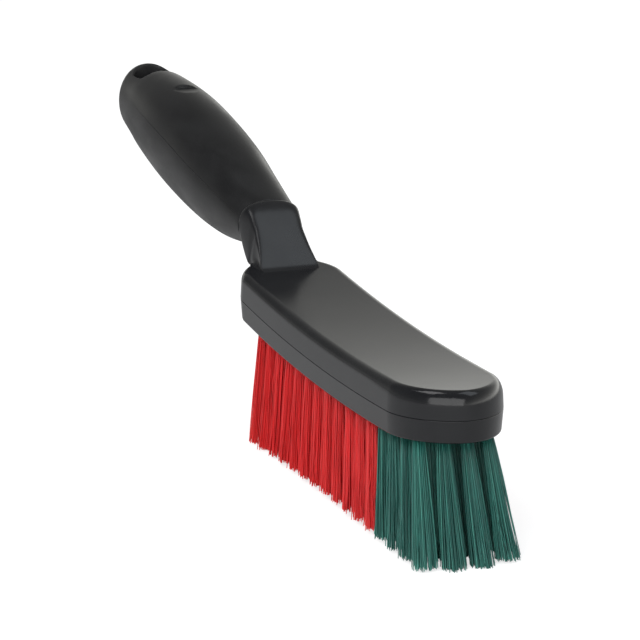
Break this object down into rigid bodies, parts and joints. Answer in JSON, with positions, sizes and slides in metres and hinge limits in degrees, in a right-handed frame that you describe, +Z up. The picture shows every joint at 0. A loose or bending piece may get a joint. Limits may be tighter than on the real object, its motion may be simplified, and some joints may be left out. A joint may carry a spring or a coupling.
{
  "type": "stiff hand brush",
  "caption": "Hand brush with a raised oval grip that has a hanging hole, and a long narrow block of stiff upright bristles that fan out at the toe.",
  "frame": {"origin": "middle of the bounding box in plan, on the plane of the bristle tips that the brush stands on", "axes": "+X along the brush towards its toe, away from the grip; +Y across it; +Z up, from the bristles to the block"},
  "size_m": [0.3354, 0.038, 0.1048],
  "materials": {
    "black_plastic": "satin moulded",
    "black_rubber": "smooth satin",
    "red_bristle": "satin filament",
    "green_bristle": "satin filament"
  },
  "bodies": {
    "root": {"brush_body": "black_plastic", "tuft_carrier": "black_plastic", "grip_sleeve": "black_rubber", "red_tuft_row_01": "red_bristle", "red_tuft_row_02": "red_bristle", "red_tuft_row_03": "red_bristle", "red_tuft_row_04": "red_bristle", "red_tuft_row_05": "red_bristle", "red_tuft_row_06": "red_bristle", "red_tuft_row_07": "red_bristle", "red_tuft_row_08": "red_bristle", "red_tuft_row_09": "red_bristle", "red_tuft_row_10": "red_bristle", "red_tuft_row_11": "red_bristle", "red_tuft_row_12": "red_bristle", "red_tuft_row_13": "red_bristle", "green_tuft_row_01": "green_bristle", "green_tuft_row_02": "green_bristle", "green_tuft_row_03": "green_bristle", "green_tuft_row_04": "green_bristle"}
  },
  "joints": []
}
